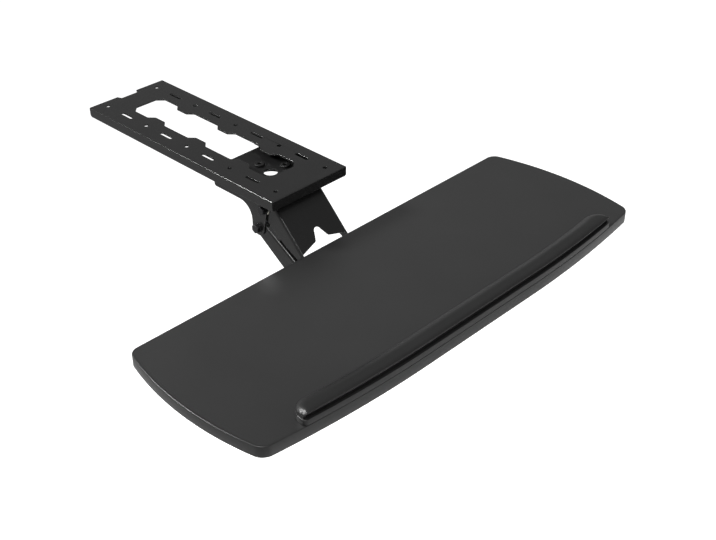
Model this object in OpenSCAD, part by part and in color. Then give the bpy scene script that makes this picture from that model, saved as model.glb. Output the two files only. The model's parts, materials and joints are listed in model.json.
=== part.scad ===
// Keyboard tray that hangs under a desk on a swivelling two-link arm.
// X runs to the user's right, Y to the rear of the desk, Z up.
// The origin is the centre of the hole pattern, on the top face of the mounting plate.

/* [Mounting plate] */
// Width of the plate across its side flanges
plate_w = 153; // [140:1:160]
// Distance from the origin to the front edge
plate_front = 225.5; // [222:0.5:240]
// Distance from the origin to the rear edge
plate_rear = 222.5; // [216:0.5:240]
// Thickness of the plate
plate_t = 2.5; // [2:0.1:2.8]
// Height of the turned down flanges
flange_h = 16; // [15:0.5:16]
// Distance between the two rows of holes
row_gap = 101.7; // [98:0.1:104]
// Distance between neighbouring round holes in a row
hole_pitch = 102.7; // [98:0.1:104]
// Radius of the round holes
hole_r = 3.5; // [2.5:0.1:4]
// Length of the slots between the holes
slot_l = 28; // [20:1:34]
// Width of the slots
slot_w = 5.5; // [4.5:0.1:7]
// Half width of the long cut-out
cut_half = 31; // [28:0.5:32]
// Half width of the cut-out between two lobes
neck_half = 22; // [18:0.5:26]
// Distance from the origin to each end of the cut-out
cut_end = 168.5; // [160:0.5:180]

/* [Swivel] */
// Distance of the swivel axis in front of the origin
hub_y = 138; // [134:0.5:142]
// Radius of the hole through the middle of the swivel
hub_hole_r = 11; // [8:0.5:14]
// Radius of the circle that the rivets stand on
rivet_ring_r = 28; // [27:0.5:29]
// Radius of the rivet heads
rivet_r = 8; // [6:0.5:8]
// Radius of the round hub that the arm bracket turns on
core_r = 35; // [34:0.5:38]
// Depth of the carrier floor below the top of the plate
floor_z = 13; // [12:0.5:13]

/* [Arm bracket] */
// Outer width of the bracket
bracket_w = 104; // [103:0.5:106]
// Sheet thickness of the bracket
bracket_t = 3; // [2.5:0.1:3]
// Distance of the bracket's rear edge in front of the origin
bracket_rear = 64; // [60:1:80]
// Depth of the bracket sides below the top of the plate
bracket_low = 44.5; // [40:0.5:50]

/* [Arms] */
// Distance between the two pivots of each arm
arm_l = 130; // [125:1:135]
// Slope of the arms below level
arm_slope = 35; // [30:1:40]
// Outer width of the upper arm
arm_w = 97; // [95:0.5:97]
// Sheet thickness of the arms and of the head
arm_t = 2.5; // [2:0.1:2.5]
// Extra slope of the upper arm's web, steeper than its line of pivots
web_slope = 10; // [8:0.5:10]
// Distance from the first pivot to the face of the web
web_off = 22.3; // [20:0.1:22.5]
// Length of the web at its sides
web_end = 90.6; // [85:0.1:92]
// Outer width of the lower link
link_w = 20; // [16:0.5:22]

/* [Tray] */
// Greatest width of the board
tray_w = 800; // [760:5:840]
// Distance of the board's rear edge in front of the origin
tray_rear = 272.9; // [272:0.1:276]
// Distance of the board's front edge in front of the origin
tray_front = 560.1; // [550:0.1:570]
// Depth of the board's top face below the top of the plate
tray_top = 78.7; // [76:0.1:78.7]
// Thickness of the board
board_t = 18; // [16:0.5:18]
// Radius of the bowed left and right edges
side_r = 503; // [450:1:700]
// Radius of the bowed front edge
front_r = 3987; // [3000:10:5000]
// Distance in front of the origin at which the board is widest
widest_y = 417; // [410:1:425]
// Radius of the rear corners
rear_corner_r = 17; // [12:1:24]
// Radius of the front corners
front_corner_r = 27; // [20:1:34]
// Thickness of the edge band
band_t = 3; // [2:0.5:3]

/* [Wrist rest] */
// Half of its length
rest_half = 322; // [280:1:330]
// Depth from front to rear
rest_depth = 42; // [36:1:50]
// Height of the firm base
base_h = 9; // [7:0.5:10]
// Height of the soft pad above the base
pad_h = 11; // [8:0.5:14]

/* [Tilt] */
// Distance of the tilt axis in front of the origin
tilt_y = 300; // [299:0.5:302]
// Depth of the tilt axis below the top of the plate
tilt_z = 110; // [109.5:0.5:111]
// Distance of the clamp bolt in front of the origin
clamp_y = 336; // [334:0.5:337]
// Depth of the clamp bolt below the top of the plate
clamp_z = 127; // [126:0.5:128]
// Angle that the slot for the clamp bolt covers to each side
tilt_reach = 16; // [15:1:17]

/* [Hidden] */

// Smoothness of true circles, and points in one rounded corner
$fn = 64;
corner_steps = 6;
// Overshoot that keeps cuts clean
eps = 0.5;
// Running clearance of a turning joint, and side clearance between moving sheets
run_gap = 0.05;
side_gap = 0.1;

// Standard fasteners: shank radius, width across flats, head height
m8 = [4, 13, 5.3];
m6 = [3, 10, 4];
washer_t = 1.6;
bush_r = 5.5;
bush_flange_r = 9;
bush_flange_t = 0.4;

// Levels of the swivel stack, from the carrier down
carrier_t = 2.5;
carrier_half = 44;
ring_t = 1.5;
carrier_low = floor_z + carrier_t;
web_top = carrier_low + ring_t;
web_low = web_top + bracket_t;
core_low = web_low + ring_t;
retainer_t = 2.5;
retainer_r = core_r + 7;
core_in_r = 21;

// Pivots of the arms, as [Y, Z]
base_up = [-177, -42.5];
base_dn = [-162.7, -80];
reach = [-arm_l * cos(arm_slope), -arm_l * sin(arm_slope)];
head_up = base_up + reach;
head_dn = base_dn + reach;
tilt_c = [-tilt_y, -tilt_z];
clamp_c = [-clamp_y, -clamp_z];

// Side faces of the nested sheets
ear_in = bracket_w / 2 - bracket_t;
arm_half = arm_w / 2;
arm_in = arm_half - arm_t;
head_half = arm_in - 0.5;
head_in = head_half - arm_t;
ear_half = head_in - 0.5;
link_in = arm_half - link_w;

board_low = tray_top + board_t;
tray_plate_low = board_low + arm_t;

// Points of an arc from angle a0 to a1
function arc(c, r, a0, a1, n) = [for (i = [0:n]) c + r * [cos(a0 + (a1 - a0) * i / n), sin(a0 + (a1 - a0) * i / n)]];

// One corner of an outline rounded with radius r
function unit(v) = v / norm(v);
function turn(a, b, c) = acos(max(-1, min(1, unit(a - b) * unit(c - b))));
function rounded_corner(a, b, c, r) =
    let (half = turn(a, b, c) / 2, way = unit(unit(a - b) + unit(c - b)), m = b + way * r / sin(half))
    let (p = b + unit(a - b) * r / tan(half), q = b + unit(c - b) * r / tan(half))
    let (a0 = atan2(p[1] - m[1], p[0] - m[0]), a1 = atan2(q[1] - m[1], q[0] - m[0]))
    let (span = a1 - a0 > 180 ? a1 - a0 - 360 : a1 - a0 < -180 ? a1 - a0 + 360 : a1 - a0)
    arc(m, r, a0, a0 + span, corner_steps);

// Closed outline from points [x, y, corner radius]
function spot(p) = [p[0], p[1]];
function outline(pts) = [for (i = [0:len(pts) - 1])
    let (n = len(pts), a = spot(pts[(i + n - 1) % n]), b = spot(pts[i]), c = spot(pts[(i + 1) % n]))
    each (pts[i][2] > 0 ? rounded_corner(a, b, c, pts[i][2]) : [b])];

function mirrored(pts) =
    concat(pts, [for (i = [len(pts) - 1:-1:0]) if (pts[i][0] > 0.001) [-pts[i][0], pts[i][1]]]);

// Centre of the circle that meets two others at distances r1 and r2 from their centres
function meet(c1, r1, c2, r2) =
    let (d = norm(c2 - c1), u = (c2 - c1) / d, a = (r1 * r1 - r2 * r2 + d * d) / (2 * d), h = sqrt(r1 * r1 - a * a))
    c1 + a * u + h * [-u[1], u[0]];
function heading(v) = atan2(v[1], v[0]);

// Outline of the board, moved inward by d
side_c = [tray_w / 2 - side_r, -widest_y];
front_c = [0, front_r - tray_front];
function tray_half(d) =
    let (ry = -tray_rear - rear_corner_r, rr = side_r - rear_corner_r)
    let (rc = [side_c[0] + sqrt(rr * rr - pow(ry - side_c[1], 2)), ry])
    let (fc = meet(front_c, front_r - front_corner_r, side_c, side_r - front_corner_r))
    let (a1 = heading(rc - side_c), a2 = heading(fc - side_c), a3 = heading(fc - front_c))
    concat(arc(rc, rear_corner_r - d, 90, a1, corner_steps),
        arc(side_c, side_r - d, a1, a2, 16),
        arc(fc, front_corner_r - d, a2, a3, corner_steps + 2),
        arc(front_c, front_r - d, a3, -90, 10));
function tray_outline(d) = mirrored(tray_half(d));

// Outline of a strip along the front edge, between two insets
function strip_half(d_front, d_rear, half, r_front, r_rear) =
    let (rf = front_r - d_front, rb = front_r - d_rear, xf = half - r_front, xb = half - r_rear)
    let (cf = [xf, front_c[1] - sqrt(pow(rf - r_front, 2) - xf * xf)])
    let (cb = [xb, front_c[1] - sqrt(pow(rb + r_rear, 2) - xb * xb)])
    concat([for (p = arc(front_c, rb, -90, heading(cb - front_c), 10)) p],
        arc(cb, r_rear, heading(front_c - cb), 0, corner_steps),
        arc(cf, r_front, 0, heading(cf - front_c), corner_steps),
        arc(front_c, rf, heading(cf - front_c), -90, 10));
function strip_outline(d_front, d_rear, half, r_front, r_rear) =
    mirrored(strip_half(d_front, d_rear, half, r_front, r_rear));

// A YZ outline pushed along X between x0 and x1
module side_slab(x0, x1) {
    translate([x0, 0, 0])
        rotate([90, 0, 90])
            linear_extrude(x1 - x0)
                children();
}

// An XY outline pushed along Z between z0 and z1
module flat_slab(z0, z1) {
    translate([0, 0, z0])
        linear_extrude(z1 - z0)
            children();
}

// A rod along X at p = [Y, Z]
module rod(p, r, x0, x1) {
    translate([x0, p[0], p[1]])
        rotate([0, 90, 0])
            cylinder(r = r, h = x1 - x0);
}

module tube(p, r_out, r_in, x0, x1) {
    difference() {
        rod(p, r_out, x0, x1);
        rod(p, r_in, x0 - eps, x1 + eps);
    }
}

// A hexagon along X at p = [Y, Z]
module hex(p, flats, x0, x1) {
    translate([x0, p[0], p[1]])
        rotate([0, 90, 0])
            cylinder(r = flats / sqrt(3), h = x1 - x0, $fn = 6);
}

// Hexagon bolt along X with its head on the left, under the face x0
module cross_bolt(p, size, x0, x1) {
    hex(p, size[1], x0 - size[2], x0);
    rod(p, size[0], x0 - eps, x1);
}

module nut(p, size, x0) {
    difference() {
        hex(p, size[1], x0, x0 + size[2] + 1);
        rod(p, size[0], x0 - eps, x0 + size[2] + 1 + eps);
    }
}

// Folded channel along Y: closed top at z = 0, rounded folds
module channel(half, t, depth, y0, y1) {
    fold_r = 2 * t;
    translate([0, y1, 0])
        rotate([90, 0, 0])
            linear_extrude(y1 - y0)
                difference() {
                    polygon(outline([[-half, 0, fold_r], [half, 0, fold_r], [half, -depth, 0], [-half, -depth, 0]]));
                    polygon(outline([[t - half, -t, t], [half - t, -t, t], [half - t, -depth - eps, 0], [t - half, -depth - eps, 0]]));
                }
}

module slot_at(x, y) {
    translate([x, y, -flange_h]) {
        for (s = [-1, 1])
            translate([0, s * (slot_l - slot_w) / 2, 0])
                cylinder(d = slot_w, h = 2 * flange_h);
        translate([-slot_w / 2, -(slot_l - slot_w) / 2, 0])
            cube([slot_w, slot_l - slot_w, 2 * flange_h]);
    }
}

// Right half of the long cut-out, with a lobe left standing beside three of the holes
neck_flat = 11.8;
lobe_slope = 10;
cut_chamfer = 11;
function lobe(y) = [[cut_half, y + neck_flat + lobe_slope], [neck_half, y + neck_flat],
    [neck_half, y - neck_flat], [cut_half, y - neck_flat - lobe_slope]];
cut_right = concat([[cut_half - cut_chamfer, cut_end], [cut_half, cut_end - cut_chamfer]],
    lobe(hole_pitch), lobe(0), lobe(-hole_pitch),
    [[cut_half, cut_chamfer - cut_end], [cut_half - cut_chamfer, -cut_end]]);

// Shallow notch in the rear edge
notch_half = 20;
notch_depth = 8;
plate_chamfer = 3;

module mount_plate() {
    color([0.2, 0.2, 0.21])
        difference() {
            union() {
                flat_slab(-plate_t, 0)
                    polygon([[-plate_w / 2, -plate_front], [plate_w / 2, -plate_front],
                        [plate_w / 2, plate_rear], [-plate_w / 2, plate_rear]]);
                for (x = [-plate_w / 2, plate_w / 2 - plate_t])
                    side_slab(x, x + plate_t)
                        polygon(outline([[-plate_front, 0, 0], [plate_rear, 0, 0],
                            [plate_rear, -flange_h, 5], [-plate_front, -flange_h, plate_chamfer]]));
                translate([0, -plate_front + plate_t, 0])
                    rotate([90, 0, 0])
                        linear_extrude(plate_t)
                            polygon([[-plate_w / 2, 0], [plate_w / 2, 0], [plate_w / 2, -flange_h + plate_chamfer],
                                [plate_w / 2 - plate_chamfer, -flange_h], [plate_chamfer - plate_w / 2, -flange_h],
                                [-plate_w / 2, -flange_h + plate_chamfer]]);
            }
            flat_slab(-plate_t - eps, eps)
                polygon(mirrored(cut_right));
            flat_slab(-plate_t - eps, eps)
                polygon([[-notch_half, plate_rear + eps], [notch_half, plate_rear + eps],
                    [notch_half - 4, plate_rear - notch_depth], [4 - notch_half, plate_rear - notch_depth]]);
            for (x = [-1, 1] * row_gap / 2) {
                for (k = [-2:2])
                    translate([x, k * hole_pitch, -flange_h])
                        cylinder(r = hole_r, h = 2 * flange_h);
                for (k = [-1.5:1:1.5])
                    slot_at(x, k * hole_pitch);
            }
        }
}

// Open-topped tray of sheet, welded under the plate, that carries the swivel
carrier_front = 204;
lip_in = cut_half + 2;
module hub_carrier() {
    color([0.12, 0.12, 0.13])
        difference() {
            union() {
                flat_slab(-carrier_low, -floor_z)
                    polygon([[-carrier_half, -carrier_front], [carrier_half, -carrier_front],
                        [carrier_half, -bracket_rear], [-carrier_half, -bracket_rear]]);
                for (x = [carrier_half - carrier_t, -carrier_half])
                    translate([x, -carrier_front, -carrier_low])
                        cube([carrier_t, carrier_front - bracket_rear, carrier_low - plate_t]);
                for (x = [lip_in, -carrier_half])
                    translate([x, -carrier_front, -plate_t - carrier_t])
                        cube([carrier_half - lip_in, carrier_front - bracket_rear, carrier_t]);
            }
            translate([0, -hub_y, -carrier_low - eps])
                cylinder(r = hub_hole_r, h = carrier_t + 2 * eps);
            rivet_places()
                translate([0, 0, -carrier_low - eps])
                    cylinder(r = rivet_shank_r, h = carrier_t + 2 * eps);
        }
}

rivet_shank_r = 5;
rivet_bore_r = 3;
rivet_head_h = 3.5;
module rivet_places() {
    translate([0, -hub_y, 0])
        for (a = [85:90:355])
            rotate([0, 0, a])
                translate([rivet_ring_r, 0, 0])
                    children();
}

// Round boss that the bracket turns on
module hub_core() {
    color([0.55, 0.56, 0.58])
        difference() {
            translate([0, -hub_y, -core_low])
                cylinder(r = core_r, h = core_low - carrier_low, $fn = 96);
            translate([0, -hub_y, -core_low - eps])
                cylinder(r = core_in_r, h = core_low);
            rivet_places()
                translate([0, 0, -core_low - eps])
                    cylinder(r = rivet_shank_r, h = core_low);
        }
}

// Plate below the boss that keeps the bracket up
module hub_retainer() {
    color([0.3, 0.3, 0.32])
        difference() {
            translate([0, -hub_y, -core_low - retainer_t])
                cylinder(r = retainer_r, h = retainer_t, $fn = 96);
            translate([0, -hub_y, -core_low - retainer_t - eps])
                cylinder(r = core_in_r, h = retainer_t + 2 * eps);
            rivet_places()
                translate([0, 0, -core_low - retainer_t - eps])
                    cylinder(r = rivet_shank_r, h = retainer_t + 2 * eps);
        }
}

// Hollow rivets that join carrier, boss and retainer
module hub_rivets() {
    low = -core_low - retainer_t;
    color([0.16, 0.16, 0.17])
        rivet_places()
            difference() {
                union() {
                    translate([0, 0, -floor_z])
                        cylinder(r = rivet_r, h = rivet_head_h);
                    translate([0, 0, low])
                        cylinder(r = rivet_shank_r, h = -floor_z - low);
                    translate([0, 0, low - 2])
                        cylinder(r = rivet_r - 1, h = 2);
                }
                translate([0, 0, low - 2 - eps])
                    cylinder(r = rivet_bore_r, h = 60);
            }
}

// Slippery rings above and below the bracket's web
module swivel_rings() {
    color([0.85, 0.84, 0.8])
        for (z = [-web_top, -web_low - ring_t + run_gap])
            translate([0, -hub_y, z])
                difference() {
                    cylinder(r = retainer_r - 1, h = ring_t - run_gap, $fn = 96);
                    translate([0, 0, -eps])
                        cylinder(r = core_r + run_gap, h = ring_t + 2 * eps, $fn = 96);
                }
}

// Side outline of the arm bracket, with an ear that holds both pivots
ear_r = 12.7;
ear_slant = 12.4;
ear_front = 190;
ear_step_z = 46;
ear_blend_r = 26;
ear_rear_y = base_dn[0] + ear_r;
// Front edge of the web, set back so that the upper arm can rise
web_front = 183;
module bracket_side() {
    touch = base_dn + ear_r * [-cos(ear_slant), -sin(ear_slant)];
    polygon(
        outline([[-ear_front, -web_top, 0], [-bracket_rear, -web_top, 0], [-bracket_rear, -bracket_low, 4],
            [ear_rear_y, -bracket_low, ear_blend_r], [ear_rear_y, base_dn[1], 0], [base_dn[0], base_dn[1], 0],
            [touch[0], touch[1], 0], [touch[0] - (-ear_step_z - touch[1]) * tan(ear_slant), -ear_step_z, 0],
            [-ear_front, 8 - ear_step_z, 3]]));
    translate(base_dn)
        circle(r = ear_r);
}

module arm_bracket() {
    color([0.17, 0.17, 0.18])
        difference() {
            intersection() {
                translate([0, 0, -web_top])
                    channel(bracket_w / 2, bracket_t, 90, -ear_front - 5, -bracket_rear);
                side_slab(-bracket_w / 2, bracket_w / 2)
                    bracket_side();
            }
            translate([0, -hub_y, -web_low - eps])
                cylinder(r = core_r + run_gap, h = bracket_t + 2 * eps, $fn = 96);
            translate([-ear_in, -ear_front - eps, -web_low - 4])
                cube([2 * ear_in, ear_front - web_front + eps, bracket_t + 5]);
            rod(base_up, m8[0], -bracket_w, bracket_w);
            rod(base_dn, m8[0], -bracket_w, bracket_w);
        }
}

// Pivot bolts of the bracket, heads on the left
knob_h = 19;
module base_bolts() {
    color([0.1, 0.1, 0.1]) {
        cross_bolt(base_up, m8, -bracket_w / 2 - washer_t, bracket_w / 2 + washer_t + m8[2] + 4);
        cross_bolt(base_dn, m8, -bracket_w / 2 - washer_t, bracket_w / 2 + washer_t + knob_h - 3);
    }
}

module base_nut() {
    color([0.1, 0.1, 0.1])
        nut(base_up, m8, bracket_w / 2 + washer_t);
}

module base_washers() {
    color([0.13, 0.13, 0.13])
        for (p = [base_up, base_dn], x = [-bracket_w / 2 - washer_t, bracket_w / 2])
            tube(p, 8, m8[0], x, x + washer_t);
}

// Tube on the upper pivot that carries the springs
sleeve_r = 7;
module spring_sleeve() {
    color([0.5, 0.51, 0.53])
        tube(base_up, sleeve_r, m8[0], -arm_in + side_gap, arm_in - side_gap);
}

module lower_sleeves() {
    color([0.5, 0.51, 0.53]) {
        tube(base_dn, sleeve_r - 0.5, m8[0], -arm_in + side_gap, -link_in - arm_t - side_gap);
        tube(base_dn, sleeve_r - 0.5, m8[0], -link_in + side_gap, ear_in);
    }
}

// Torsion springs round the sleeve: a helix with one leg behind the lower pivot
// and one leg under the web of the upper arm
wire_r = 1.6;
coil_r = 10.5;
coil_turns = 4;
coil_pitch = 3.4;
coil_x = 8;
turn_steps = 16;
leg_low_a = -66;
leg_web_a = 90 + arm_slope + web_slope - 7;
function coil_spot(a, x) = [x, base_up[0] + coil_r * cos(a), base_up[1] + coil_r * sin(a)];
function coil_dir(a, s) = s * [0, -sin(a), cos(a)];
coil_a0 = leg_low_a + 90;
coil_a1 = leg_web_a + 360 * coil_turns;
coil_n = round((coil_a1 - coil_a0) / 360 * turn_steps);
coil_path = concat([coil_spot(coil_a0 - 6, coil_x) + 43 * coil_dir(coil_a0 - 6, -1)],
    [for (i = [0:coil_n])
        let (f = i / coil_n)
        coil_spot(coil_a0 + (coil_a1 - coil_a0) * f, coil_x + coil_pitch * (coil_a1 - coil_a0) / 360 * f)],
    [coil_spot(coil_a1, coil_x + coil_pitch * (coil_a1 - coil_a0) / 360) + 34 * coil_dir(coil_a1, 1)]);

module wire(path, r) {
    n = len(path);
    sides = 8;
    function way(i) = unit(path[min(i + 1, n - 1)] - path[max(i - 1, 0)]);
    function ring(i) = let (e1 = unit([1, 0, 0] - way(i) * way(i)[0]), e2 = cross(way(i), e1))
        [for (k = [0:sides - 1]) path[i] + r * (cos(360 * k / sides) * e1 + sin(360 * k / sides) * e2)];
    polyhedron(
        points = [for (i = [0:n - 1]) each ring(i)],
        faces = concat([[for (k = [sides - 1:-1:0]) k]],
            [for (i = [0:n - 2], k = [0:sides - 1])
                [i * sides + k, i * sides + (k + 1) % sides, (i + 1) * sides + (k + 1) % sides, (i + 1) * sides + k]],
            [[for (k = [0:sides - 1]) (n - 1) * sides + k]]));
}

module lift_springs() {
    color([0.35, 0.35, 0.37])
        for (s = [0, 1])
            mirror([s, 0, 0])
                wire(coil_path, wire_r);
}

// Lobed hand knob along X, its face at x0
module knob(p, size, x0) {
    lobe_n = 5;
    difference() {
        union() {
            rod(p, 12.5, x0 + 6, x0 + knob_h);
            rod(p, 8, x0, x0 + 7);
            for (k = [0:lobe_n - 1])
                rod(p + 10 * [cos(90 + 360 * k / lobe_n), sin(90 + 360 * k / lobe_n)], 5, x0 + 7, x0 + knob_h - 1);
        }
        rod(p, size[0] + run_gap, x0 - eps, x0 + knob_h - 2);
    }
}

module height_knob() {
    color([0.08, 0.08, 0.08])
        knob(base_dn, m8, bracket_w / 2 + washer_t + side_gap);
}

// Places a body whose local forward axis is -Y and whose up axis is Z on an arm's line of pivots
module on_arm(p) {
    translate([0, p[0], p[1]])
        rotate([arm_slope, 0, 0])
            children();
}

// Keyhole notch in the lower end of the web, as [x, distance along the web]
key_r = 7.2;
key_s = 68.2;
shoulder_s = 76.6;
shoulder_x = 17;
shoulder_r = 5;
web_cut_half = concat([for (p = arc([0, key_s], key_r, -90, -10, 8)) p],
    [for (p = arc([shoulder_x, shoulder_s], shoulder_r, 150, 106, 6)) p],
    [[arm_in, web_end - 0.8], [arm_in, web_end + 70]]);

// Side outline of the upper arm on its line of pivots, forward is -Y
eye_r = 11;
arm_eye_r = 14;
module upper_arm_side() {
    w0 = (web_off + eps) * [-sin(web_slope), cos(web_slope)];
    d = [-cos(web_slope), -sin(web_slope)];
    top0 = w0 + 8 * d;
    top1 = w0 + web_end * d;
    polygon(outline([[9, 10.5, 0], [top0[0], top0[1], 0], [top1[0], top1[1], 1.5], [top1[0] - 6, 1, 3],
        [eye_r - arm_l, 1, 0], [-arm_l, 0, 0], [-arm_l, -eye_r, 0], [-98, -9.5, 6], [-60, -15, 8], [0, -arm_eye_r, 0]]));
    circle(r = arm_eye_r);
    translate([-arm_l, 0])
        circle(r = eye_r);
}

module upper_arm() {
    color([0.15, 0.15, 0.155])
        on_arm(base_up)
            difference() {
                union() {
                    intersection() {
                        rotate([web_slope, 0, 0])
                            translate([0, 0, web_off])
                                channel(arm_half, arm_t, 70, -arm_l - 30, 25);
                        side_slab(-arm_half, arm_half)
                            upper_arm_side();
                    }
                    for (x = [-arm_half, arm_in])
                        rod([-arm_l, 0], eye_r, x, x + arm_t);
                }
                rotate([web_slope, 0, 0])
                    translate([0, 0, web_off - 12])
                        linear_extrude(20)
                            polygon([for (p = mirrored(web_cut_half)) [p[0], -p[1]]]);
                for (y = [0, -arm_l])
                    rod([y, 0], bush_r, -arm_w, arm_w);
            }
}

// Nylon bush in a sheet from x0 to x1, with a thin flange on side f, or none where f is 0
module bush(p, r, x0, x1, f) {
    difference() {
        union() {
            rod(p, bush_r, x0, x1);
            if (f != 0)
                rod(p, bush_flange_r, f > 0 ? x1 : x0 - bush_flange_t, f > 0 ? x1 + bush_flange_t : x0);
        }
        rod(p, r + run_gap, x0 - 1, x1 + 1);
    }
}

module arm_bushes() {
    color([0.82, 0.81, 0.77])
        for (s = [0, 1])
            mirror([s, 0, 0]) {
                bush(base_up, m8[0], arm_in, arm_half, 1);
                bush(head_up, m8[0], arm_in, arm_half, -1);
            }
}

// Side outline of the lower link on its line of pivots
link_eye_r = 12;
link_base_r = 12.8;
link_rise = 4;
link_web_from = 38;
link_web_to = 98;
module link_side() {
    rise = 12.5 + link_web_to * tan(link_rise);
    polygon(outline([[0, 12.5 + eps, 0], [-link_web_to, rise + eps, 4], [-arm_l, link_eye_r, 0], [-arm_l, -link_eye_r, 0],
        [-70, -13, 0], [0, -link_base_r, 0]]));
    circle(r = link_base_r);
    translate([-arm_l, 0])
        circle(r = link_eye_r);
}

module lower_link() {
    color([0.3, 0.3, 0.31])
        on_arm(base_dn)
            difference() {
                union() {
                    intersection() {
                        translate([link_w / 2 - arm_half, 0, 12.5])
                            rotate([-link_rise, 0, 0])
                                channel(link_w / 2, arm_t, 60, -arm_l - 30, 30);
                        side_slab(-arm_half, -link_in)
                            link_side();
                    }
                    for (x = [-arm_half, -link_in - arm_t]) {
                        rod([0, 0], link_base_r, x, x + arm_t);
                        rod([-arm_l, 0], link_eye_r, x, x + arm_t);
                    }
                }
                translate([-arm_half + arm_t, -link_web_from, 5])
                    cube([link_w - 2 * arm_t, 80, 30]);
                translate([-arm_half + arm_t, -arm_l - 40, -2])
                    cube([link_w - 2 * arm_t, arm_l + 40 - link_web_to, 40]);
                for (y = [0, -arm_l])
                    rod([y, 0], bush_r, -arm_w, arm_w);
            }
}

module link_bushes() {
    color([0.82, 0.81, 0.77]) {
        bush(base_dn, m8[0], -arm_half, -arm_in, -1);
        bush(base_dn, m8[0], -link_in - arm_t, -link_in, 0);
        bush(head_dn, m8[0], -arm_half, -arm_in, 1);
        bush(head_dn, m8[0], -link_in - arm_t, -link_in, 0);
    }
}

// Side outline of the head, which joins both arms to the tray
head_front = 354;
module head_side() {
    tilt_eye_r = 9;
    polygon(outline([[tilt_c[0] + 4, tilt_c[1] + tilt_eye_r - 1, 0], [-head_front, -117, 5], [-head_front, -146, 5],
        [-322, -162, 14], [head_dn[0], head_dn[1] - link_eye_r, 0], [head_dn[0] + 5, head_dn[1], 0],
        [head_up[0] + 8, head_up[1] - 4, 0]]));
    translate(head_up)
        circle(r = eye_r);
    translate(head_dn)
        circle(r = link_eye_r);
    translate(tilt_c)
        circle(r = tilt_eye_r);
}

// Plan of a channel with its web at the front and its sides running to the rear
module front_channel(half, t) {
    back = -240;
    difference() {
        polygon(outline([[-half, -head_front, 2 * t], [half, -head_front, 2 * t], [half, back, 0], [-half, back, 0]]));
        polygon(outline([[t - half, t - head_front, t], [half - t, t - head_front, t],
            [half - t, back + eps, 0], [t - half, back + eps, 0]]));
    }
}

module head_bracket() {
    color([0.15, 0.15, 0.16])
        difference() {
            intersection() {
                flat_slab(-180, -95)
                    front_channel(head_half, arm_t);
                side_slab(-head_half, head_half)
                    head_side();
            }
            for (p = [head_up, head_dn])
                rod(p, m8[0], -arm_w, arm_w);
            for (p = [tilt_c, clamp_c])
                rod(p, m6[0], -arm_w, arm_w);
        }
}

// Face under the right-hand washer of a head bolt
function head_nut_x(p) = p == head_up ? arm_half + side_gap : head_half;

module head_bolts() {
    color([0.1, 0.1, 0.1])
        for (p = [head_up, head_dn])
            cross_bolt(p, m8, -arm_half - washer_t - side_gap, head_nut_x(p) + washer_t + m8[2] + 4);
}

module head_nuts() {
    color([0.1, 0.1, 0.1])
        for (p = [head_up, head_dn])
            nut(p, m8, head_nut_x(p) + washer_t);
}

module head_washers() {
    color([0.13, 0.13, 0.13])
        for (p = [head_up, head_dn], x = [-arm_half - washer_t - side_gap, head_nut_x(p)])
            tube(p, 8, m8[0], x, x + washer_t);
}

module head_sleeves() {
    color([0.5, 0.51, 0.53]) {
        tube(head_up, sleeve_r - 0.5, m8[0], -head_in, head_in);
        tube(head_dn, sleeve_r - 0.5, m8[0], -head_in, -link_in - arm_t - side_gap);
        tube(head_dn, sleeve_r - 0.5, m8[0], -link_in + side_gap, head_in);
    }
}

module tilt_bolt() {
    color([0.1, 0.1, 0.1])
        cross_bolt(tilt_c, m6, -head_half, head_half + m6[2] + 2);
}

module tilt_nut() {
    color([0.1, 0.1, 0.1])
        nut(tilt_c, m6, head_half);
}

module clamp_bolt() {
    color([0.1, 0.1, 0.1])
        cross_bolt(clamp_c, m6, -head_half, head_half + knob_h - 3);
}

module tilt_washers() {
    color([0.82, 0.81, 0.77])
        for (s = [0, 1])
            mirror([s, 0, 0])
                tube(tilt_c, 7, m6[0], ear_half + 0.05, head_in - 0.05);
}

module tilt_knob() {
    color([0.08, 0.08, 0.08])
        knob(clamp_c, m6, head_half + side_gap);
}

// Plate under the board with two ears that hang on the tilt axis
tray_plate = [176, 120];
tray_plate_rear = 289;
screw_places = [for (x = [-76, 76], y = [0, 50, 100]) [x, -tray_plate_rear - 10 - y]];
tilt_slot_r = norm(clamp_c - tilt_c);
tilt_slot_a = heading(clamp_c - tilt_c);
slot_half = 3.4;
slot_a0 = tilt_slot_a - tilt_reach;
slot_a1 = tilt_slot_a + tilt_reach;
function slot_end(a, a_from) = [for (i = [1:7])
    tilt_c + tilt_slot_r * [cos(a), sin(a)] + slot_half * [cos(a_from + i * 22.5), sin(a_from + i * 22.5)]];
arc_slot = concat(arc(tilt_c, tilt_slot_r + slot_half, slot_a0, slot_a1, 12), slot_end(slot_a1, slot_a1),
    arc(tilt_c, tilt_slot_r - slot_half, slot_a1, slot_a0, 12), slot_end(slot_a0, slot_a0 + 180));
module tilt_ear() {
    difference() {
        intersection() {
            translate(tilt_c)
                circle(r = tilt_slot_r + 9);
            polygon(outline([[-tilt_y + 9, -board_low, 0], [-tilt_y + 9, -tilt_z, 6], [-tilt_y + 5, -tilt_z - 9, 6],
                [-tilt_y - 27, -tilt_z - 40, 0], [-head_front, -tilt_z - 40, 0], [-head_front, -board_low, 0]]));
        }
        translate(tilt_c)
            circle(r = m6[0] + run_gap);
        polygon(arc_slot);
    }
}

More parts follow.
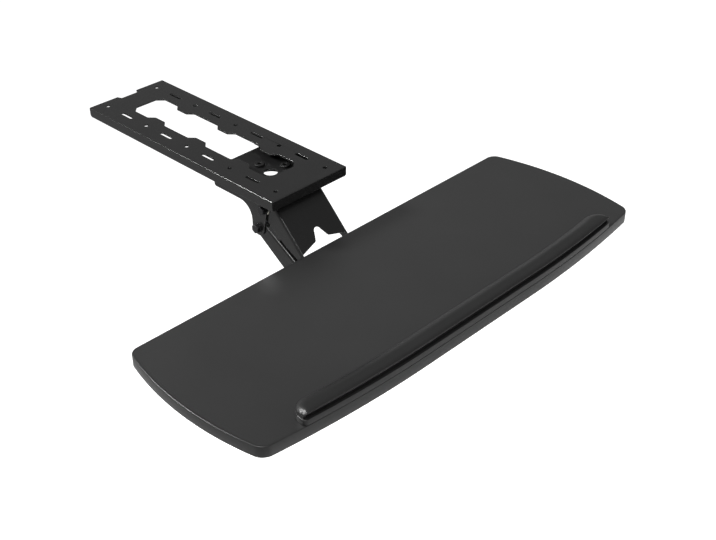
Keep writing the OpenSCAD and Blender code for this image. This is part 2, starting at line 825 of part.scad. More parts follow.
module tray_bracket() {
    w = tray_plate[0] / 2;
    back = -tray_plate_rear;
    front = back - tray_plate[1];
    color([0.16, 0.16, 0.17]) {
        difference() {
            flat_slab(-tray_plate_low, -board_low)
                polygon(outline([[-w, back, 8], [w, back, 8], [w, front, 8], [-w, front, 8]]));
            for (p = screw_places)
                translate([p[0], p[1], -tray_plate_low - eps])
                    cylinder(r = screw_r, h = arm_t + 2 * eps);
            for (x = [-59, 59])
                flat_slab(-tray_plate_low - eps, -board_low + eps)
                    polygon(outline([[x - 8, back - 18, 6], [x + 8, back - 18, 6], [x + 8, front + 18, 6], [x - 8, front + 18, 6]]));
        }
        for (x = [-ear_half, ear_half - arm_t])
            side_slab(x, x + arm_t)
                tilt_ear();
    }
}

screw_r = 2.2;
screw_head_r = 4.8;
module wood_screw(x, y, seat, depth) {
    translate([x, y, seat - 2.6])
        cylinder(r = screw_head_r, h = 2.6);
    translate([x, y, seat - eps])
        cylinder(r = screw_r, h = depth + eps);
}

module tray_screws() {
    color([0.25, 0.25, 0.26])
        for (p = screw_places)
            wood_screw(p[0], p[1], -tray_plate_low, 14);
}

// Screws of the wrist rest, let into the underside of the board
rest_screw_x = [-270, -135, 0, 135, 270];
rest_sink = 4;
function rest_mid(x) = front_c[1] - sqrt(pow(front_r - rest_depth / 2, 2) - x * x);

module tray_board() {
    color([0.11, 0.11, 0.115])
        difference() {
            flat_slab(-board_low, -tray_top)
                polygon(tray_outline(band_t));
            for (p = screw_places)
                translate([p[0], p[1], -board_low - eps])
                    cylinder(r = screw_r, h = 14 - arm_t + eps);
            for (x = rest_screw_x)
                translate([x, rest_mid(x), -board_low - eps]) {
                    cylinder(r = screw_r, h = board_t + 2 * eps);
                    cylinder(r = screw_head_r + 0.5, h = rest_sink + eps);
                }
        }
}

// Edge band with softened arrises
arris = 1.2;
module edge_band() {
    color([0.2, 0.2, 0.205])
        for (s = [[-board_low, -board_low + arris, arris], [-board_low + arris, -tray_top - arris, 0],
                [-tray_top - arris, -tray_top, arris]])
            flat_slab(s[0], s[1])
                difference() {
                    polygon(tray_outline(s[2]));
                    polygon(tray_outline(band_t));
                }
}

module wrist_base() {
    color([0.14, 0.14, 0.14])
        difference() {
            flat_slab(-tray_top, -tray_top + base_h)
                polygon(strip_outline(0.4, rest_depth, rest_half - 4, 10, 16));
            for (x = rest_screw_x)
                translate([x, rest_mid(x), -tray_top - eps])
                    cylinder(r = screw_r, h = 6 + eps);
        }
}

// Soft pad in three steps that follow its crown
module wrist_pad() {
    foot = -tray_top + base_h;
    steps = [[0, 0.55, 0], [0.55, 0.85, 4], [0.85, 1, 9]];
    color([0.09, 0.09, 0.09])
        for (s = steps)
            flat_slab(foot + s[0] * pad_h, foot + s[1] * pad_h)
                polygon(strip_outline(1 + s[2], rest_depth - s[2], rest_half - s[2], 16 - s[2], 20 - s[2]));
}

module wrist_screws() {
    color([0.25, 0.25, 0.26])
        for (x = rest_screw_x)
            wood_screw(x, rest_mid(x), -board_low + rest_sink, board_t - rest_sink + 6);
}

mount_plate();
hub_carrier();
hub_core();
hub_retainer();
hub_rivets();
swivel_rings();
arm_bracket();
base_bolts();
base_nut();
base_washers();
spring_sleeve();
lower_sleeves();
lift_springs();
height_knob();
upper_arm();
arm_bushes();
lower_link();
link_bushes();
head_bracket();
head_bolts();
head_nuts();
head_washers();
head_sleeves();
tilt_bolt();
tilt_nut();
clamp_bolt();
tilt_washers();
tilt_knob();
tray_bracket();
tray_screws();
tray_board();
edge_band();
wrist_base();
wrist_pad();
wrist_screws();
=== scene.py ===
import json
import math

import bmesh
import bpy
import numpy as np
from mathutils import Matrix


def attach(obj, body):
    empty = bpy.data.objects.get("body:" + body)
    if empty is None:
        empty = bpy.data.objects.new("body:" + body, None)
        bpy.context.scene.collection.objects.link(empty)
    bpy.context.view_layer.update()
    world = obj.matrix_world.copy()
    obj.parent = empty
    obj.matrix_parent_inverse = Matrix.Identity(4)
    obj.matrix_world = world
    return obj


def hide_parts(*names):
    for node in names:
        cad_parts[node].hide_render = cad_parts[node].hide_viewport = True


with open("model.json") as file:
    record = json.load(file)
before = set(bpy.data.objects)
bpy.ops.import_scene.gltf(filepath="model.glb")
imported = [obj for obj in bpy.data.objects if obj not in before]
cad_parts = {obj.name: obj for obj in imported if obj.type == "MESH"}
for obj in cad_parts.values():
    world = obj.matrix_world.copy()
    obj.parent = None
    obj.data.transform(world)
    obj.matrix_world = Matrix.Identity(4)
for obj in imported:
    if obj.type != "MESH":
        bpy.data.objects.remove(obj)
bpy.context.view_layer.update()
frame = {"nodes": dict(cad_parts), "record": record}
nodes = frame["nodes"]
mm = 0.001
noiseLow, noiseHigh = 0.3, 0.7  # a noise texture seldom leaves this range
sharpAngle = math.radians(40)  # faces that meet at more than this are shaded with a crisp edge


def linearFromHex(hexText):
    # sRGB hex to linear: c/12.92 below 0.04045, otherwise ((c + 0.055) / 1.055) to the power 2.4
    parts = [int(hexText[i:i + 2], 16) / 255 for i in (1, 3, 5)]
    return [c / 12.92 if c <= 0.04045 else ((c + 0.055) / 1.055) ** 2.4 for c in parts] + [1.0]


def addNode(tree, kind, settings=None, links=None):
    # one node: settings set attributes or input values, links join (output socket) to a named input
    node = tree.nodes.new(kind)
    for key, value in (settings or {}).items():
        if isinstance(key, str) and hasattr(node, key) and key not in node.inputs:
            setattr(node, key, value)
        else:
            node.inputs[key].default_value = value
    for key, socket in (links or {}).items():
        tree.links.new(socket, node.inputs[key])
    return node


def newMaterial(name, surface):
    material = bpy.data.materials.new(name)
    material.use_nodes = True
    tree = material.node_tree
    tree.nodes.clear()
    shader = addNode(tree, "ShaderNodeBsdfPrincipled", surface)
    output = addNode(tree, "ShaderNodeOutputMaterial", links={"Surface": shader.outputs["BSDF"]})
    coords = addNode(tree, "ShaderNodeTexCoord")
    return material, tree, shader, coords.outputs["Object"]


def noiseOf(tree, where, sizeMm, detail=2.0, rough=0.5):
    # noise whose features are about sizeMm across; Object coordinates are in metres
    return addNode(tree, "ShaderNodeTexNoise",
                   {"Scale": 1000 / sizeMm, "Detail": detail, "Roughness": rough},
                   {"Vector": where}).outputs["Fac"]


def spread(tree, value, low, high):
    return addNode(tree, "ShaderNodeMapRange",
                   {"From Min": noiseLow, "From Max": noiseHigh, "To Min": low, "To Max": high},
                   {"Value": value}).outputs["Result"]


def tint(tree, value, darkHex, lightHex):
    ramp = addNode(tree, "ShaderNodeValToRGB", links={"Fac": value})
    ramp.color_ramp.elements[0].color = linearFromHex(darkHex)
    ramp.color_ramp.elements[1].color = linearFromHex(lightHex)
    ramp.color_ramp.elements[0].position = noiseLow
    ramp.color_ramp.elements[1].position = noiseHigh
    return ramp.outputs["Color"]


def bump(tree, height, distanceMm, strength):
    return addNode(tree, "ShaderNodeBump", {"Strength": strength, "Distance": distanceMm * mm},
                   {"Height": height}).outputs["Normal"]


def grainy(name, dark, light, grainMm, rough, roughSpread, bumpMm, strength=0.5, surface=None,
           cloudMm=60):
    # base: colour drifts over cloudMm, a fine grain of grainMm moves roughness and bump
    material, tree, shader, where = newMaterial(name, surface or {})
    cloud = noiseOf(tree, where, cloudMm, 3.0)
    grain = noiseOf(tree, where, grainMm, 3.0, 0.6)
    tree.links.new(tint(tree, cloud, dark, light), shader.inputs["Base Color"])
    shine = spread(tree, grain, rough - roughSpread, rough + roughSpread)
    tree.links.new(shine, shader.inputs["Roughness"])
    tree.links.new(bump(tree, grain, bumpMm, strength), shader.inputs["Normal"])
    return material


print("stage: materials")

# polyester powder coat, sprayed and baked: fine orange peel about 1 mm, satin
powderCoat = grainy("powder_coat_black", "#080808", "#0b0b0b", 1.1, 0.24, 0.03, 0.015, 0.4,
                    {"Specular IOR Level": 0.4})
# the same coat on the arm, a little deeper in tone
armCoat = grainy("powder_coat_arm", "#070707", "#0a0a0a", 1.1, 0.24, 0.03, 0.015, 0.4,
                 {"Specular IOR Level": 0.4})
# pressings inside the swivel: a matt coat darker than the plate's, painted shade for the shade inside
# the cut-out
hubShadedCoat = grainy("hub_coat_painted_shade", "#050505", "#080808", 0.8, 0.5, 0.05, 0.02, 0.4,
                  {"Specular IOR Level": 0.25})
# black oxide on steel bolts: thin dark skin over turned metal
boltBlack = grainy("black_oxide_steel", "#161617", "#1e1e20", 0.8, 0.34, 0.06, 0.01, 0.4,
                   {"Metallic": 0.6}, 9)
# zinc plated steel, pale and slightly cloudy
zincSteel = grainy("zinc_plated_steel", "#8f9296", "#a9abae", 0.6, 0.34, 0.06, 0.01, 0.4,
                   {"Metallic": 1.0}, 7)
# oiled spring wire, drawn: dark steel
springWire = grainy("oiled_spring_wire", "#4a4a4c", "#5e5e61", 0.5, 0.36, 0.06, 0.01, 0.4,
                    {"Metallic": 1.0}, 6)
# black zinc wood screws
screwZinc = grainy("black_zinc_screws", "#3a3a3c", "#4b4b4e", 0.5, 0.4, 0.06, 0.01, 0.4,
                   {"Metallic": 0.9}, 5)
# natural nylon, moulded: milky and soft at the edges
bushNylon = grainy("moulded_nylon", "#d8d4c6", "#e2dfd3", 0.7, 0.45, 0.05, 0.01, 0.3,
                   {"IOR": 1.53}, 12)
# glass filled nylon knob with a fine spark eroded grain
knobPlastic = grainy("grained_knob_plastic", "#131313", "#1a1a1a", 0.6, 0.55, 0.05, 0.04, 0.7,
                     {"IOR": 1.53}, 14)
# melamine laminate on the board: satin black with a fine pearl texture about 0.9 mm
laminate = grainy("satin_black_laminate", "#161616", "#191919", 0.9, 0.4, 0.04, 0.015, 0.4,
                  None, 140)
# extruded ABS edge band, glued and trimmed, smoother than the laminate
edgeAbs = grainy("abs_edge_band", "#131313", "#171717", 0.9, 0.34, 0.04, 0.01, 0.3, None, 80)
# injection moulded base of the wrist rest
restPlastic = grainy("moulded_rest_base", "#111111", "#151515", 0.7, 0.36, 0.05, 0.02, 0.4,
                     None, 40)
# polyurethane skin over soft foam, matte with a faint leather pebble about 1.2 mm
padSkin = grainy("polyurethane_pad_skin", "#0c0c0c", "#0f0f0f", 1.2, 0.42, 0.05, 0.03, 0.5,
                 {"Specular IOR Level": 0.4}, 70)

finishes = {
    "plate_coat": powderCoat, "arm_coat": armCoat, "pivot_steel": zincSteel, "bolt_black": boltBlack,
    "spring_steel": springWire, "bush_nylon": bushNylon, "knob_plastic": knobPlastic,
    "board_laminate": laminate, "edge_plastic": edgeAbs, "rest_base_plastic": restPlastic,
    "rest_pad_skin": padSkin, "screw_zinc": screwZinc,
}
slotOf = {part["node"]: part["material_slot"] for part in frame["record"]["subparts"]}
for name, node in nodes.items():
    node.data.materials.clear()
    node.data.materials.append(finishes[slotOf[name]])


bodyOf = {name: body for body, names in frame["record"]["behaviour"]["bodies"].items()
          for name in names}


def linkMesh(name, mesh, body, material, replaced):
    piece = bpy.data.objects.new(name, mesh)
    bpy.context.collection.objects.link(piece)
    mesh.materials.clear()
    mesh.materials.append(material)
    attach(piece, body)
    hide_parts(replaced)
    return piece


def meshFrom(name, points, quads):
    # points (n, 3) in millimetres, quads (m, 4) of indices, all faces smooth
    mesh = bpy.data.meshes.new(name)
    mesh.vertices.add(len(points))
    mesh.vertices.foreach_set("co", (np.asarray(points) * mm).astype(np.float32).ravel())
    mesh.loops.add(quads.size)
    mesh.loops.foreach_set("vertex_index", quads.astype(np.int32).ravel())
    mesh.polygons.add(len(quads))
    mesh.polygons.foreach_set("loop_start", np.arange(0, quads.size, 4, dtype=np.int32))
    mesh.polygons.foreach_set("use_smooth", np.ones(len(quads), bool))
    mesh.update(calc_edges=True)
    mesh.validate()
    return mesh


def arc(centre, radius, fromDeg, toDeg, count):
    # centre + radius * (cos a, sin a), a running from one angle to the other
    a = np.radians(np.linspace(fromDeg, toDeg, count))
    return np.array(centre) + radius * np.stack([np.cos(a), np.sin(a)], 1)


def headingOf(v):
    return math.degrees(math.atan2(v[1], v[0]))


# Millimetres. Width, rear, front, top and thickness are those of the part's source; the flat middle
# of the front edge and the radii of side, front and front corner follow the photo
tray = {"halfWidth": 400.0, "rear": -272.9, "front": -560.1, "frontFlat": 112.0, "frontRadius": 1850.0,
        "sideRadius": 485.0, "widest": -417.0, "rearCorner": 17.0, "frontCorner": 20.0,
        "top": -78.7, "thick": 18.0, "band": 3.0, "arris": 1.0, "arrisSteps": 5,
        "rearSteps": 30, "rearCornerSteps": 12, "sideSteps": 60, "frontCornerSteps": 14,
        "frontSteps": 50, "flatSteps": 10}


def trayOutline(inset):
    # right half of rear edge, rear corner, bowed side, front corner and bowed front, mirrored;
    # clockwise seen from above
    t = tray
    side = np.array([t["halfWidth"] - t["sideRadius"], t["widest"]])
    front = np.array([t["frontFlat"], t["front"] + t["frontRadius"]])
    rearY = t["rear"] - t["rearCorner"]
    reach = t["sideRadius"] - t["rearCorner"]
    rear = np.array([side[0] + math.sqrt(reach ** 2 - (rearY - side[1]) ** 2), rearY])
    # the front corner's centre lies at known distances from the centres of the two arcs it joins
    r1, r2 = t["frontRadius"] - t["frontCorner"], t["sideRadius"] - t["frontCorner"]
    gap = np.linalg.norm(side - front)
    along = (side - front) / gap
    a = (r1 ** 2 - r2 ** 2 + gap ** 2) / (2 * gap)
    corner = front + a * along + math.sqrt(r1 ** 2 - a ** 2) * np.array([-along[1], along[0]])
    a1, a2, a3 = headingOf(rear - side), headingOf(corner - side), headingOf(corner - front)
    half = np.concatenate([
        np.stack([np.linspace(0, rear[0], t["rearSteps"])[:-1],
                  np.full(t["rearSteps"] - 1, t["rear"] - inset)], 1),
        arc(rear, t["rearCorner"] - inset, 90, a1, t["rearCornerSteps"])[:-1],
        arc(side, t["sideRadius"] - inset, a1, a2, t["sideSteps"])[:-1],
        arc(corner, t["frontCorner"] - inset, a2, a3, t["frontCornerSteps"])[:-1],
        arc(front, t["frontRadius"] - inset, a3, -90, t["frontSteps"])[:-1],
        np.stack([np.linspace(t["frontFlat"], 0, t["flatSteps"]),
                  np.full(t["flatSteps"], t["front"] + inset)], 1)])
    other = half[-2:0:-1] * [-1, 1]
    return np.concatenate([half, other])


def ringTube(outlines, heights):
    # closed outlines (k, n, 2) at heights (k), joined into a closed tube round the tray
    k, n = outlines.shape[:2]
    levels = np.broadcast_to(np.reshape(heights, (k, 1, 1)), (k, n, 1))
    points = np.concatenate([outlines, levels], 2).reshape(-1, 3)
    row, col = np.meshgrid(np.arange(k), np.arange(n), indexing="ij")
    nextRow, nextCol = (row + 1) % k, (col + 1) % n
    quads = np.stack([row * n + col, row * n + nextCol,
                      nextRow * n + nextCol, nextRow * n + col], -1)
    return points, quads.reshape(-1, 4)


def makeEdgeBand():
    # the band's section: flat inner face, and an outer face with a quarter round of radius arris
    # at each end
    t = tray
    low, top, r = t["top"] - t["thick"], t["top"], t["arris"]
    bend = np.radians(np.linspace(0, 90, t["arrisSteps"]))
    sine, cosine = np.sin(bend), np.cos(bend)
    insets = np.concatenate([[t["band"]], r * (1 - sine), r * (1 - cosine), [t["band"]]])
    heights = np.concatenate([[low], low + r * (1 - cosine), top - r * (1 - sine), [top]])
    points, quads = ringTube(np.array([trayOutline(d) for d in insets]), heights)
    mesh = meshFrom("edge_band_rounded", points, quads)
    mesh.set_sharp_from_angle(angle=sharpAngle)
    linkMesh("edge_band_rounded", mesh, bodyOf["edge_band"], edgeAbs, "edge_band")


def makeBoard():
    # the board's slab inside the band: two flat faces and the rim between them
    t = tray
    outline = trayOutline(t["band"])
    n = len(outline)
    points = np.concatenate([np.column_stack([outline, np.full(n, z)])
                             for z in (t["top"], t["top"] - t["thick"])])
    mesh = bpy.data.meshes.new("tray_board_laminated")
    rim = [(k, k + n, (k + 1) % n + n, (k + 1) % n) for k in range(n)]
    caps = [list(range(n))[::-1], list(range(n, 2 * n))]
    mesh.from_pydata((points * mm).tolist(), [], caps + rim)
    linkMesh("tray_board_laminated", mesh, bodyOf["tray_board"], laminate, "tray_board")


# Millimetres. Length and depth follow the photo, the heights are those of the part's source
rest = {"half": 322.0, "depth": 35.0, "frontCorner": 6.0, "endFlat": 5.0,
        "baseHeight": 9.0, "padHeight": 11.0,
        "flush": 0.4, "rim": 0.7, "seam": 0.5, "seamRound": 0.2, "seamDepth": 0.9,
        "cornerSteps": 20, "alongSteps": 150, "across": 18}


def restEdges(x, frontInset, rearInset, half, frontCorner, rearCorner):
    # front and rear Y of the rest's outline at each x: an arc like the board's front edge,
    # then a corner arc
    t = tray
    centreY = t["front"] + t["frontRadius"]
    ax = np.abs(x)

    def edge(radius, corner, sign):
        cx = half - corner
        reach = radius - sign * corner
        cy = centreY - math.sqrt(reach ** 2 - (cx - t["frontFlat"]) ** 2)
        turnX = cx + sign * corner * (cx - t["frontFlat"]) / reach
        bow = np.clip(ax - t["frontFlat"], 0, None)
        long = centreY - np.sqrt(radius ** 2 - bow ** 2)
        round_ = cy - sign * np.sqrt(np.clip(corner ** 2 - (ax - cx) ** 2, 0, None))
        return np.where(ax <= turnX, long, round_)

    front = edge(t["frontRadius"] - frontInset, frontCorner, 1)
    rear = edge(t["frontRadius"] - rearInset, rearCorner, -1)
    return front, rear


def restGrid(inset):
    # grid over the rest's outline moved in by inset: columns follow x, close together at the ends,
    # and rows run rearward
    half = rest["half"] - inset
    rearCorner = rest["depth"] - rest["frontCorner"] - rest["endFlat"] - inset
    bend = np.radians(np.linspace(0, 90, rest["cornerSteps"]))
    end = half - rearCorner + rearCorner * np.sin(bend)
    x = np.concatenate([-end[::-1], np.linspace(-end[0], end[0], rest["alongSteps"])[1:-1], end])
    front, rear = restEdges(x, rest["flush"] + inset, rest["depth"] - inset, half,
                            rest["frontCorner"] - inset, rearCorner)
    share = 0.5 - 0.5 * np.cos(np.linspace(0, np.pi, rest["across"]))
    y = front[:, None] + (rear - front)[:, None] * share
    return np.stack([np.broadcast_to(x[:, None], y.shape), y], -1)


def borderOf(grid):
    # the grid's border, counter-clockwise seen from above, and the outward direction at its points
    n, m = grid.shape[:2]
    index = np.arange(n * m).reshape(n, m)
    loop = np.concatenate([index[:, 0], index[-1, 1:], index[-2::-1, -1], index[0, -2:0:-1]])
    flat = grid.reshape(n * m, -1)[loop][:, :2]
    along = np.roll(flat, -1, 0) - np.roll(flat, 1, 0)
    along /= np.linalg.norm(along, axis=1, keepdims=True)
    return loop, flat, np.stack([along[:, 1], -along[:, 0]], 1)


def closedLid(top, rings):
    # a lid (n, m, 3), wall rings (k, border, 3) below it, and a floor spread between the front
    # and rear of the last ring
    n, m = top.shape[:2]
    loop = borderOf(top)[0]
    last = rings[-1]
    floor = np.empty_like(top)
    floor.reshape(-1, 3)[loop] = last
    share = np.linspace(0, 1, m)[1:-1, None]
    floor[1:-1, 1:-1] = floor[1:-1, :1] * (1 - share) + floor[1:-1, -1:] * share
    points = np.concatenate([top.reshape(-1, 3), *rings[:-1], floor.reshape(-1, 3)])
    index = np.arange(n * m).reshape(n, m)
    lid = np.stack([index[:-1, :-1], index[1:, :-1], index[1:, 1:], index[:-1, 1:]], -1).reshape(-1, 4)
    rows = [loop] + [n * m + k * len(loop) + np.arange(len(loop)) for k in range(len(rings) - 1)]
    under = n * m + (len(rings) - 1) * len(loop)
    rows.append(under + loop)
    walls = [np.stack([a, b, np.roll(b, -1), np.roll(a, -1)], -1) for a, b in zip(rows, rows[1:])]
    return points, np.concatenate([lid, *walls, lid[:, ::-1] + under])


def makeRestBase():
    # flat top, quarter round at its rim, upright wall, and a small step in at the foot that leaves
    # a dark seam
    rim, foot, top = rest["rim"], tray["top"], tray["top"] + rest["baseHeight"]
    flat = restGrid(rim)
    lid = np.concatenate([flat, np.full(flat.shape[:2] + (1,), top)], -1)
    loop, edge, out = borderOf(lid)
    bend = np.radians([30, 60, 90])
    moves = list(zip(rim * np.sin(bend), top - rim * (1 - np.cos(bend))))
    moves += [(rim, foot + rest["seam"] + rest["seamRound"]),
              (rim - rest["seamRound"], foot + rest["seam"]),
              (rim - rest["seamDepth"], foot + rest["seam"]), (rim - rest["seamDepth"], foot)]
    rings = [np.column_stack([edge + out * move, np.full(len(edge), z)]) for move, z in moves]
    mesh = meshFrom("wrist_base_moulded", *closedLid(lid, rings))
    mesh.set_sharp_from_angle(angle=sharpAngle)
    linkMesh("wrist_base_moulded", mesh, bodyOf["wrist_base"], restPlastic, "wrist_base")


# Millimetres, shares of 1 and settings of the cloth
pad = {"inset": 0.8, "frontRound": 6.0, "rearRound": 21.0, "endRound": 11.0, "lipHeight": 8.6,
       "rearRise": 1.2, "endLift": 0.35, "frontTurn": 1.6, "frontStart": 0.35, "endTurn": 1.2,
       "endStart": 0.3, "blend": 0.4, "blendPower": 4, "grooveDepth": 4.6, "endGroove": 0.9,
       "wallShares": (0.14, 0.3, 0.5, 0.7, 0.86, 1.0), "foldTurn": 0.62, "foldPower": 1.3,
       "gluedRings": 2, "pressure": 4.0, "stiffness": 60, "bending": 20, "frames": 20, "mostMove": 0.8}


def padShape():
    # height = border height + rise * quarter ellipse of the distance from the border;
    # the border's height and the ellipse's reach go over from front lip to rounded end and rear
    r = pad
    foot = tray["top"] + rest["baseHeight"]
    flat = restGrid(r["inset"])
    n, m = flat.shape[:2]
    loop, edge, out = borderOf(flat)
    frontness = np.clip(-out[:, 1] * r["frontTurn"] - r["frontStart"], 0, 1)
    endness = np.clip(np.abs(out[:, 0]) * r["endTurn"] - r["endStart"], 0, 1) * (1 - frontness)
    reach = (r["rearRound"] + (r["frontRound"] - r["rearRound"]) * frontness
             + (r["endRound"] - r["rearRound"]) * endness)
    lipShare = np.maximum(frontness, r["endLift"] * endness)
    lift = r["rearRise"] + (r["lipHeight"] - r["rearRise"]) * lipShare
    spots = flat.reshape(-1, 2)
    gaps = np.linalg.norm(spots[:, None] - edge[None], axis=2)
    # near border points count most, so the reach changes softly
    weight = 1 / (gaps + r["blend"]) ** r["blendPower"]
    weight /= weight.sum(1, keepdims=True)
    share = np.clip(gaps.min(1) / (weight @ reach), 0, 1)
    start = weight @ lift
    rise = np.sqrt(1 - (1 - share) ** 2)
    height = foot + start + (rest["padHeight"] - start) * rise
    lid = np.concatenate([spots, height[:, None]], 1).reshape(n, m, 3)
    # the wall folds in under the lip: depth follows a half sine, deepest at the front
    rings = []
    deep = r["grooveDepth"] * frontness + r["endGroove"] * (1 - frontness)
    borderLift = lid.reshape(-1, 3)[loop][:, 2] - foot
    for k in r["wallShares"]:
        inward = deep * math.sin(math.pi * min(k * r["foldTurn"], 1)) ** r["foldPower"]
        rings.append(np.column_stack([edge - out * inward[:, None], foot + borderLift * (1 - k)]))
    return lid, np.array(rings)


def makeWristPad():
    lid, rings = padShape()
    points, quads = closedLid(lid, rings)
    mesh = meshFrom("wrist_pad_soft", points, quads)
    piece = bpy.data.objects.new("wrist_pad_soft", mesh)
    bpy.context.collection.objects.link(piece)
    n, m = lid.shape[:2]
    # the foot is glued to the base and holds still, as do the two rings above it
    firstHeld = n * m + (len(rings) - 1 - pad["gluedRings"]) * rings.shape[1]
    held = piece.vertex_groups.new(name="foot")
    held.add(list(range(firstHeld, len(points))), 1.0, "REPLACE")
    cloth = piece.modifiers.new("swell", "CLOTH")
    cloth.settings.use_pressure = True
    cloth.settings.uniform_pressure_force = pad["pressure"]
    cloth.settings.vertex_group_mass = "foot"
    cloth.settings.effector_weights.gravity = 0
    cloth.settings.tension_stiffness = cloth.settings.compression_stiffness = pad["stiffness"]
    cloth.settings.bending_stiffness = pad["bending"]
    cloth.point_cache.frame_end = pad["frames"]
    for f in range(1, pad["frames"] + 1):
        bpy.context.scene.frame_set(f)
    swollen = np.empty(len(points) * 3, np.float32)
    shown = piece.evaluated_get(bpy.context.evaluated_depsgraph_get())
    shown.data.vertices.foreach_get("co", swollen)
    move = swollen.reshape(-1, 3) / mm - points
    size = np.linalg.norm(move, axis=1, keepdims=True)
    points = points + move * np.minimum(1, pad["mostMove"] / np.maximum(size, 1e-9))
    piece.modifiers.remove(cloth)
    mesh.vertices.foreach_set("co", (points * mm).astype(np.float32).ravel())
    mesh.update()
    bpy.context.scene.frame_set(1)
    print("stage: pad swelled by up to %.2f mm" % size.max())
    smooth = piece.modifiers.new("smooth", "SUBSURF")
    smooth.levels = smooth.render_levels = 1
    mesh.materials.append(padSkin)
    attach(piece, bodyOf["wrist_pad"])
    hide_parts("wrist_pad")


# Millimetres, as in the part's source, apart from the lips and the rounded folds, which it lacks
plate = {"halfWidth": 76.5, "front": -225.5, "rear": 222.5, "flange": 16.0, "sheet": 2.5, "arris": 0.35,
         "lipWidth": 14.0, "lipRelief": 12.0, "foldRadius": 1.3, "foldSteps": 3,
         "atTop": 0.05, "atSide": 0.1}


def addLips(work):
    # the feet of the plate's side flanges turn inward as narrow lips, short of both ends
    p = plate
    length = p["rear"] - p["front"] - 2 * p["lipRelief"]
    across = p["lipWidth"] + p["sheet"] / 2
    for sign in (-1, 1):
        centre = (sign * (p["halfWidth"] - p["sheet"] / 2 - across / 2), (p["rear"] + p["front"]) / 2,
                  (p["sheet"] + p["arris"]) / 2 - p["flange"])
        bmesh.ops.create_cube(work, size=mm, matrix=Matrix.Translation([v * mm for v in centre])
                              @ Matrix.Diagonal((across, length, p["sheet"] - p["arris"], 1)))


def roundFolds(piece):
    # the plate's outer folds, where its top meets the flanges, are rounder than its cut edges
    p = plate
    points = np.empty(len(piece.data.vertices) * 3, np.float32)
    piece.data.vertices.foreach_get("co", points)
    x, y, z = (points.reshape(-1, 3).astype(float) / mm).T
    atRim = (np.abs(x) > p["halfWidth"] - p["atSide"]) | (y < p["front"] + p["atSide"])
    outer = (np.abs(z) < p["atTop"]) & atRim
    group = piece.vertex_groups.new(name="folds")
    group.add(np.flatnonzero(outer).tolist(), 1.0, "REPLACE")
    folds = piece.modifiers.new("folds", "BEVEL")
    folds.width = p["foldRadius"] * mm
    folds.segments = p["foldSteps"]
    folds.limit_method = "VGROUP"
    folds.vertex_group = "folds"
    folds.use_clamp_overlap = False


# node: radius of its softened arrises in millimetres
softening = {
    "mount_plate": 0.35, "hub_carrier": 0.4, "hub_rivets": 0.8, "hub_core": 0.5, "hub_retainer": 0.4,
    "arm_bracket": 0.6, "base_bolts": 0.7, "base_nut": 0.5, "base_washers": 0.3, "spring_sleeve": 0.3,
    "lower_sleeves": 0.3, "height_knob": 0.5, "upper_arm": 0.6, "arm_bushes": 0.2, "lower_link": 0.6,
    "link_bushes": 0.2, "head_bracket": 0.5, "head_bolts": 0.7, "head_nuts": 0.5, "head_washers": 0.3,
    "head_sleeves": 0.3, "tilt_bolt": 0.6, "tilt_nut": 0.4, "clamp_bolt": 0.6, "tilt_washers": 0.2,
    "tilt_knob": 0.5, "tray_bracket": 0.4, "tray_screws": 0.5,
}
hubPieces = ("hub_carrier", "hub_retainer", "hub_rivets")
arrises = {"mergeMetres": 2e-6, "flatDeg": 0.6, "sharpDeg": 34, "steps": 2, "flatWeight": 100}


def softened(name, radius):
    # a copy of the node's solid, its loose triangles merged and its flat faces joined,
    # with rounded arrises
    mesh = nodes[name].data.copy()
    mesh.name = name + "_dressed"
    work = bmesh.new()
    work.from_mesh(mesh)
    if name == "mount_plate":
        addLips(work)
    bmesh.ops.remove_doubles(work, verts=work.verts, dist=arrises["mergeMetres"])
    bmesh.ops.dissolve_limit(work, angle_limit=math.radians(arrises["flatDeg"]),
                             verts=work.verts, edges=work.edges)
    work.to_mesh(mesh)
    work.free()
    mesh.polygons.foreach_set("use_smooth", np.ones(len(mesh.polygons), bool))
    # the pressings inside the swivel take the darker coat, which is painted shade
    finish = hubShadedCoat if name in hubPieces else finishes[slotOf[name]]
    piece = linkMesh(name + "_dressed", mesh, bodyOf[name], finish, name)
    if name == "mount_plate":
        roundFolds(piece)
    edges = piece.modifiers.new("arrises", "BEVEL")
    edges.width = radius * mm
    edges.segments = arrises["steps"]
    edges.limit_method = "ANGLE"
    edges.angle_limit = math.radians(arrises["sharpDeg"])
    edges.use_clamp_overlap = False
    even = piece.modifiers.new("even", "WEIGHTED_NORMAL")
    even.weight = arrises["flatWeight"]


print("stage: sheet metal")
for name, radius in softening.items():
    softened(name, radius)
print("stage: tray edge and wrist rest")
makeBoard()
makeEdgeBand()
makeRestBase()
makeWristPad()

print("stage: camera")


def standing(side, top, away, place):
    # the matrix of an object at place whose own X, Y and Z axes are side, top and away
    return Matrix([[side[i], top[i], away[i], place[i]] for i in range(3)] + [[0, 0, 0, 1]])


camera = bpy.data.objects.new("camera", bpy.data.cameras.new("camera"))
bpy.context.collection.objects.link(camera)
# fitted to the photo: the camera's own axes, and its place in metres
right = (0.69543, -0.71859, 0.0)
up = (0.39735, 0.38455, 0.83315)
back = (-0.59870, -0.57941, 0.55305)
place = (-1.0736, -1.3635, 0.8841)
camera.matrix_world = standing(right, up, back, place)
camera.data.sensor_width = 36
camera.data.lens = 60.664
bpy.context.scene.camera = camera

print("stage: studio")
# metres, watts, degrees and levels of white
studio = {"floorBelow": 0.72, "floorSize": 60.0, "floorPaint": 0.85, "floorGlow": 0.6, "world": 0.5,
          "key": 20.0, "front": 11.0, "rim": 9.0, "line": 2.0, "spread": 40.0,
          "cardHeight": 2.6, "cardSize": 40.0, "cardLevel": 0.36}


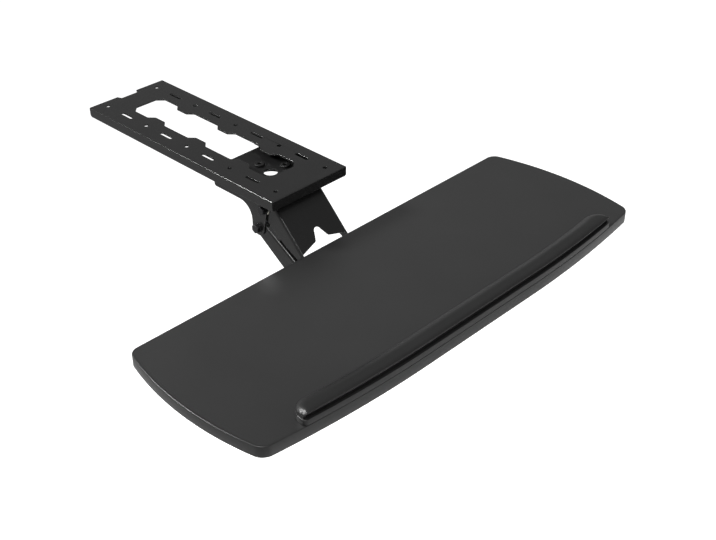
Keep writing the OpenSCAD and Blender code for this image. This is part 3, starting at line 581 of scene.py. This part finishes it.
def areaLamp(name, place, target, size, power):
    lamp = bpy.data.objects.new(name, bpy.data.lights.new(name, "AREA"))
    lamp.data.shape = "DISK"
    lamp.data.size = size
    lamp.data.energy = power
    away = np.array(place) - np.array(target)
    away = away / np.linalg.norm(away)
    side = np.cross([0, 0, 1], away)
    side = side / np.linalg.norm(side)
    top = np.cross(away, side)
    lamp.matrix_world = standing(side, top, away, place)
    bpy.context.collection.objects.link(lamp)
    return lamp


middle = (0, -0.25, -0.1)
areaLamp("key_lamp", (-1.2, -0.2, 2.2), middle, 1.6, studio["key"])
areaLamp("front_lamp", (1.2, -2.6, 1.0), middle, 1.4, studio["front"])
# two snooted lamps on the left draw the bright lines along the folds and leave the floor alone
rim = areaLamp("rim_lamp", (-1.6, 1.5, 1.7), middle, 0.6, studio["rim"])
line = areaLamp("line_lamp", (-1.38, -0.94, 1.6), middle, 0.4, studio["line"])
rim.data.spread = line.data.spread = math.radians(studio["spread"])

world = bpy.data.worlds.new("studio_world")
bpy.context.scene.world = world
world.use_nodes = True
tree = world.node_tree
tree.nodes.clear()
rays = addNode(tree, "ShaderNodeLightPath")
seen = addNode(tree, "ShaderNodeMath", {"operation": "MAXIMUM"})
tree.links.new(rays.outputs["Is Camera Ray"], seen.inputs[0])
tree.links.new(rays.outputs["Is Glossy Ray"], seen.inputs[1])
seenToo = addNode(tree, "ShaderNodeMath", {"operation": "MAXIMUM"})
tree.links.new(seen.outputs[0], seenToo.inputs[0])
tree.links.new(rays.outputs["Is Transmission Ray"], seenToo.inputs[1])
level = addNode(tree, "ShaderNodeMapRange", {"To Min": studio["world"], "To Max": 1.0},
                {"Value": seenToo.outputs[0]})
backdrop = addNode(tree, "ShaderNodeBackground", {"Color": (1, 1, 1, 1)},
                   {"Strength": level.outputs["Result"]})
addNode(tree, "ShaderNodeOutputWorld", links={"Surface": backdrop.outputs[0]})


def levelSquare(name, size, height, material):
    # a level square of the studio, which is no part of the object
    h = size / 2
    mesh = bpy.data.meshes.new(name)
    corners = [(-h, -h, height), (h, -h, height), (h, h, height), (-h, h, height)]
    mesh.from_pydata(corners, [], [(0, 1, 2, 3)])
    mesh.materials.append(material)
    square = bpy.data.objects.new(name, mesh)
    bpy.context.collection.objects.link(square)
    return square


def glowing(name, diffuseLevel, glowLevel, onlyCamera):
    # matt white paint of diffuseLevel plus a glow, which the floor shows to the camera alone
    material = bpy.data.materials.new(name)
    material.use_nodes = True
    tree = material.node_tree
    tree.nodes.clear()
    matt = addNode(tree, "ShaderNodeBsdfDiffuse", {"Color": (diffuseLevel,) * 3 + (1,)})
    glow = addNode(tree, "ShaderNodeEmission", {"Color": (1, 1, 1, 1), "Strength": glowLevel})
    if onlyCamera:
        rays = addNode(tree, "ShaderNodeLightPath")
        level = addNode(tree, "ShaderNodeMath", {"operation": "MULTIPLY", 1: glowLevel},
                        {0: rays.outputs["Is Camera Ray"]})
        tree.links.new(level.outputs[0], glow.inputs["Strength"])
    both = addNode(tree, "ShaderNodeAddShader", links={0: matt.outputs[0], 1: glow.outputs[0]})
    if onlyCamera:
        # seen from below the floor is clear, so the underside can be looked at
        clear = addNode(tree, "ShaderNodeBsdfTransparent")
        side = addNode(tree, "ShaderNodeNewGeometry")
        both = addNode(tree, "ShaderNodeMixShader",
                       links={0: side.outputs["Backfacing"], 1: both.outputs[0], 2: clear.outputs[0]})
    addNode(tree, "ShaderNodeOutputMaterial", links={"Surface": both.outputs[0]})
    return material


levelSquare("floor", studio["floorSize"], -studio["floorBelow"],
            glowing("pale_floor", studio["floorPaint"], studio["floorGlow"], True))
# a grey card overhead that only reflections see, so that upward faces stay dark as under a studio flag
card = levelSquare("grey_card", studio["cardSize"], studio["cardHeight"],
                   glowing("grey_card_paint", 0.0, studio["cardLevel"], False))
card.visible_camera = card.visible_diffuse = card.visible_shadow = card.visible_transmission = False

bpy.context.scene.view_settings.view_transform = "Standard"
